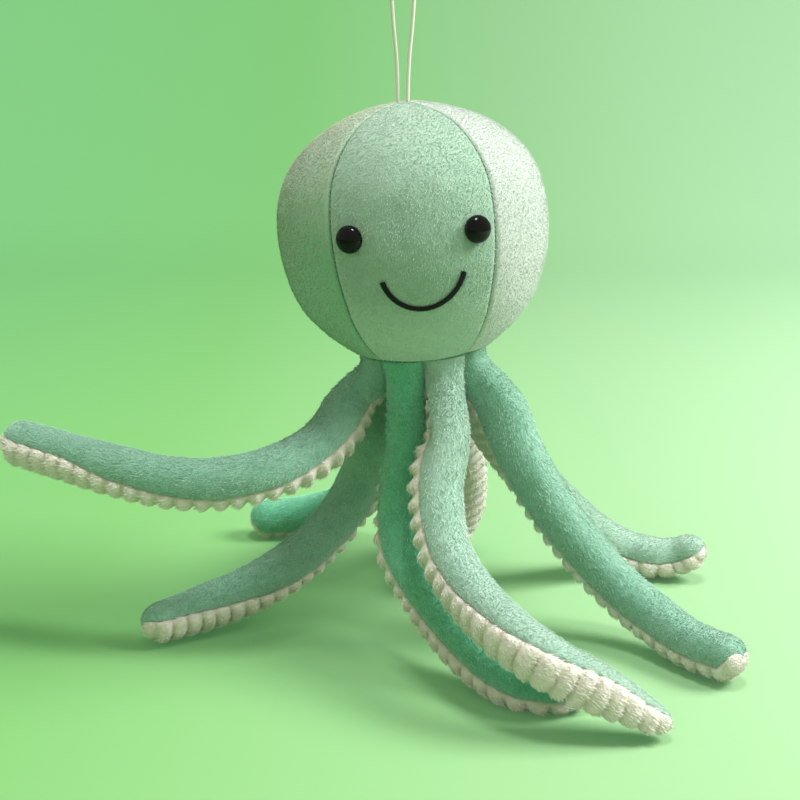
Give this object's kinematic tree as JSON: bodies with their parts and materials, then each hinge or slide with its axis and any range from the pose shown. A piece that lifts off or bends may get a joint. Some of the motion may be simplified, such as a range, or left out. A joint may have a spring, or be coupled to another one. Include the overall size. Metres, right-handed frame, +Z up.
{
  "type": "plush octopus",
  "caption": "Stuffed octopus with a round head sewn from gores, safety eyes, embroidered smile, curved arms with ribbed undersides, and a cord loop at the crown.",
  "frame": {"origin": "top of the hanging loop, on the centre line of its cord", "axes": "+Z up, the face looks along -Y, +X to the right of a viewer who faces it"},
  "size_m": [0.3998, 0.2938, 0.3617],
  "materials": {
    "mint_pile": "short mint green pile",
    "pale_mint_pile": "the same mint pile, nap the other way, so it looks paler",
    "white_rib_pile": "cream white pile woven in cross ribs",
    "polyester_fill": "loose polyester fibre",
    "black_plastic": "glossy black",
    "washer_plastic": "translucent white, matte",
    "black_thread": "black satin stitch",
    "cream_cord": "braided cream cord"
  },
  "bodies": {
    "head": {"head_front_panel": "mint_pile", "head_right_panel": "pale_mint_pile", "head_back_panel": "mint_pile", "head_left_panel": "pale_mint_pile", "head_stuffing": "polyester_fill", "base_disc": "mint_pile", "eye_left": "black_plastic", "eye_right": "black_plastic", "eye_left_washer": "washer_plastic", "eye_right_washer": "washer_plastic", "smile_embroidery": "black_thread", "hang_loop": "cream_cord", "loop_knot": "cream_cord"},
    "arm_front_left": {"arm_front_left_top": "mint_pile", "arm_front_left_underside": "white_rib_pile", "arm_front_left_stuffing": "polyester_fill"},
    "arm_front_right": {"arm_front_right_top": "mint_pile", "arm_front_right_underside": "white_rib_pile", "arm_front_right_stuffing": "polyester_fill"},
    "arm_right_front": {"arm_right_front_top": "mint_pile", "arm_right_front_underside": "white_rib_pile", "arm_right_front_stuffing": "polyester_fill"},
    "arm_right_rear": {"arm_right_rear_top": "mint_pile", "arm_right_rear_underside": "white_rib_pile", "arm_right_rear_stuffing": "polyester_fill"},
    "arm_rear_right": {"arm_rear_right_top": "mint_pile", "arm_rear_right_underside": "white_rib_pile", "arm_rear_right_stuffing": "polyester_fill"},
    "arm_rear_left": {"arm_rear_left_top": "mint_pile", "arm_rear_left_underside": "white_rib_pile", "arm_rear_left_stuffing": "polyester_fill"},
    "arm_left_rear": {"arm_left_rear_top": "mint_pile", "arm_left_rear_underside": "white_rib_pile", "arm_left_rear_stuffing": "polyester_fill"},
    "arm_left_front": {"arm_left_front_top": "mint_pile", "arm_left_front_underside": "white_rib_pile", "arm_left_front_stuffing": "polyester_fill"}
  },
  "joints": [
    {"name": "front_left_arm_root", "type": "hinge", "parent": "head", "child": "arm_front_left", "pos_m": [0.00238, -0.02264, -0.21239], "axis": [-0.9208, 0.3827, -0.0757], "range_deg": [-15, 3]},
    {"name": "front_right_arm_root", "type": "hinge", "parent": "head", "child": "arm_front_right", "pos_m": [0.02107, -0.02264, -0.21085], "axis": [-0.9208, -0.3827, -0.0757], "range_deg": [0, 40]},
    {"name": "right_front_arm_root", "type": "hinge", "parent": "head", "child": "arm_right_front", "pos_m": [0.03428, -0.00938, -0.20976], "axis": [-0.3814, -0.9239, -0.0314], "range_deg": [-15, 18]},
    {"name": "right_rear_arm_root", "type": "hinge", "parent": "head", "child": "arm_right_rear", "pos_m": [0.03428, 0.00938, -0.20976], "axis": [0.3814, -0.9239, 0.0314], "range_deg": [-12, 35]},
    {"name": "rear_right_arm_root", "type": "hinge", "parent": "head", "child": "arm_rear_right", "pos_m": [0.02107, 0.02264, -0.21085], "axis": [0.9208, -0.3827, 0.0757], "range_deg": [0, 15]},
    {"name": "rear_left_arm_root", "type": "hinge", "parent": "head", "child": "arm_rear_left", "pos_m": [0.00238, 0.02264, -0.21239], "axis": [0.9208, 0.3827, 0.0757], "range_deg": [-6, 9]},
    {"name": "left_rear_arm_root", "type": "hinge", "parent": "head", "child": "arm_left_rear", "pos_m": [-0.01083, 0.00938, -0.21347], "axis": [0.3814, 0.9239, 0.0314], "range_deg": [-12, 12]},
    {"name": "left_front_arm_root", "type": "hinge", "parent": "head", "child": "arm_left_front", "pos_m": [-0.01083, -0.00938, -0.21347], "axis": [-0.3814, 0.9239, -0.0314], "range_deg": [-12, 30]}
  ]
}
